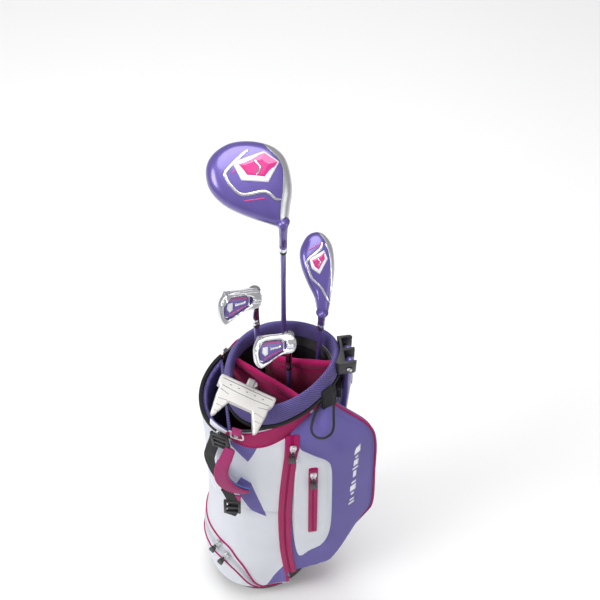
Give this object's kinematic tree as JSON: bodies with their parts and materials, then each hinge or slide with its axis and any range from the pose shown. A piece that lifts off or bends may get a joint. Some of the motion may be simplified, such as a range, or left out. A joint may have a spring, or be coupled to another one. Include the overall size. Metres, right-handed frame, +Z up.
{
  "type": "golf club set",
  "caption": "Junior golf stand bag with a two-leg stand, padded divided top, side pockets and shoulder strap, holding a driver, hybrid, irons and mallet putter, heads up.",
  "frame": {"origin": "centre of the base's flat underside", "axes": "+Z up, +X towards the stand legs, -Y towards the main side pocket, -X the putter well"},
  "size_m": [0.2876, 0.2693, 0.9461],
  "materials": {
    "white_fabric": "woven polyester, lightly coated",
    "purple_fabric": "woven polyester",
    "magenta_fabric": "woven polyester",
    "mesh_fabric": "padded spacer mesh",
    "fleece": "brushed fleece edging",
    "webbing": "ribbed nylon webbing",
    "piping": "piped cord",
    "zip_tape": "woven zip tape",
    "zip_band": "woven zip tape",
    "black_plastic": "moulded, satin",
    "grey_plastic": "moulded, satin",
    "elastic": "covered elastic",
    "rubber": "matte",
    "grip_rubber": "patterned grip",
    "steel": "zinc plated",
    "chrome": "bright satin",
    "purple_paint": "metallic gloss paint",
    "shaft_paint": "gloss paint",
    "badge_paint": "domed",
    "cavity_paint": "domed",
    "putter_metal": "bead blasted",
    "fibreglass": "pultruded rod"
  },
  "bodies": {
    "bag": {"base_tray": "black_plastic", "body_shell": "white_fabric", "stays": "fibreglass", "top_collar": "magenta_fabric", "top_frame": "grey_plastic", "cuff_pad": "mesh_fabric", "rim_binding": "webbing", "well_lining": "mesh_fabric", "divider_main": "fleece", "divider_side": "fleece", "apparel_pocket": "purple_fabric", "apparel_piping": "piping", "accessory_pocket": "white_fabric", "main_zip": "zip_tape", "accessory_zip": "zip_tape", "ball_pocket": "white_fabric", "ball_piping": "piping", "ball_zip": "zip_band", "rivets": "steel", "handle_tab": "webbing", "towel_loop": "elastic", "shoulder_strap": "magenta_fabric", "strap_buckle": "black_plastic", "strap_adjuster": "webbing", "stand_head": "black_plastic", "stand_pins": "steel", "leg_clip": "black_plastic"},
    "driver": {"driver_shaft": "shaft_paint", "driver_grip": "grip_rubber", "driver_head": "purple_paint", "driver_badge": "badge_paint", "driver_ferrule": "black_plastic"},
    "hybrid": {"hybrid_shaft": "shaft_paint", "hybrid_grip": "grip_rubber", "hybrid_head": "purple_paint", "hybrid_badge": "badge_paint", "hybrid_ferrule": "black_plastic"},
    "seven_iron": {"seven_iron_shaft": "shaft_paint", "seven_iron_grip": "grip_rubber", "seven_iron_head": "chrome", "seven_iron_badge": "cavity_paint", "seven_iron_ferrule": "black_plastic"},
    "sand_wedge": {"sand_wedge_shaft": "shaft_paint", "sand_wedge_grip": "grip_rubber", "sand_wedge_head": "chrome", "sand_wedge_badge": "cavity_paint", "sand_wedge_ferrule": "black_plastic"},
    "putter": {"putter_shaft": "shaft_paint", "putter_grip": "grip_rubber", "putter_head": "putter_metal"},
    "leg_left": {"stand_leg_left": "shaft_paint", "stand_foot_left": "rubber"},
    "leg_right": {"stand_leg_right": "shaft_paint", "stand_foot_right": "rubber"},
    "actuator": {"stand_actuator": "steel"},
    "main_slider": {"main_zip_slider": "steel"},
    "accessory_slider": {"accessory_zip_slider": "steel"},
    "ball_slider_up": {"ball_slider_upper": "steel"},
    "ball_slider_low": {"ball_slider_lower": "steel"},
    "ring": {"strap_ring": "steel"}
  },
  "joints": [
    {"name": "driver_lift", "type": "slide", "parent": "bag", "child": "driver", "axis": [0.0085, 0.0093, 0.9999], "range_m": [0, 0.69]},
    {"name": "hybrid_lift", "type": "slide", "parent": "bag", "child": "hybrid", "axis": [0.0357, 0.0062, 0.9993], "range_m": [0, 0.69]},
    {"name": "seven_iron_lift", "type": "slide", "parent": "bag", "child": "seven_iron", "axis": [0, 0, 1], "range_m": [0, 0.69]},
    {"name": "sand_wedge_lift", "type": "slide", "parent": "bag", "child": "sand_wedge", "axis": [0.0031, 0, 1], "range_m": [0, 0.69]},
    {"name": "putter_lift", "type": "slide", "parent": "bag", "child": "putter", "axis": [-0.0247, -0.0284, 0.9993], "range_m": [0, 0.69]},
    {"name": "leg_left_swing", "type": "hinge", "parent": "bag", "child": "leg_left", "pos_m": [0.1335, -0.0195, 0.655], "axis": [-0.2425, -0.9701, 0], "range_deg": [0, 30], "stiffness_Nm_per_rad": 0.6, "springref_deg": -20.05},
    {"name": "leg_right_swing", "type": "hinge", "parent": "bag", "child": "leg_right", "pos_m": [0.1335, -0.0005, 0.655], "axis": [0.2425, -0.9701, 0], "range_deg": [0, 30], "stiffness_Nm_per_rad": 0.6, "springref_deg": -20.05},
    {"name": "actuator_slide", "type": "slide", "parent": "bag", "child": "actuator", "axis": [0.0433, 0, 0.9991], "range_m": [0, 0.0168]},
    {"name": "main_slider_travel", "type": "slide", "parent": "bag", "child": "main_slider", "axis": [-0.0663, -0.0366, -0.9971], "range_m": [0, 0.2]},
    {"name": "accessory_slider_travel", "type": "slide", "parent": "bag", "child": "accessory_slider", "axis": [0, -0.0366, -0.9993], "range_m": [0, 0.16]},
    {"name": "ball_slider_up_travel", "type": "slide", "parent": "bag", "child": "ball_slider_up", "axis": [-0.212, 0.212, 0.954], "range_m": [0, 0.012]},
    {"name": "ball_slider_low_travel", "type": "slide", "parent": "bag", "child": "ball_slider_low", "axis": [0.2001, -0.4501, -0.8703], "range_m": [0, 0.012]},
    {"name": "ring_swing", "type": "hinge", "parent": "bag", "child": "ring", "pos_m": [-0.03433, -0.07798, 0.59375], "axis": [-0.9024, 0.4309, 0], "range_deg": [0, 40]}
  ],
  "couplings": [
    {"joint": "leg_right_swing", "follows": "leg_left_swing", "ratio": 1},
    {"joint": "actuator_slide", "follows": "leg_left_swing", "m_per_rad": 0.032}
  ]
}
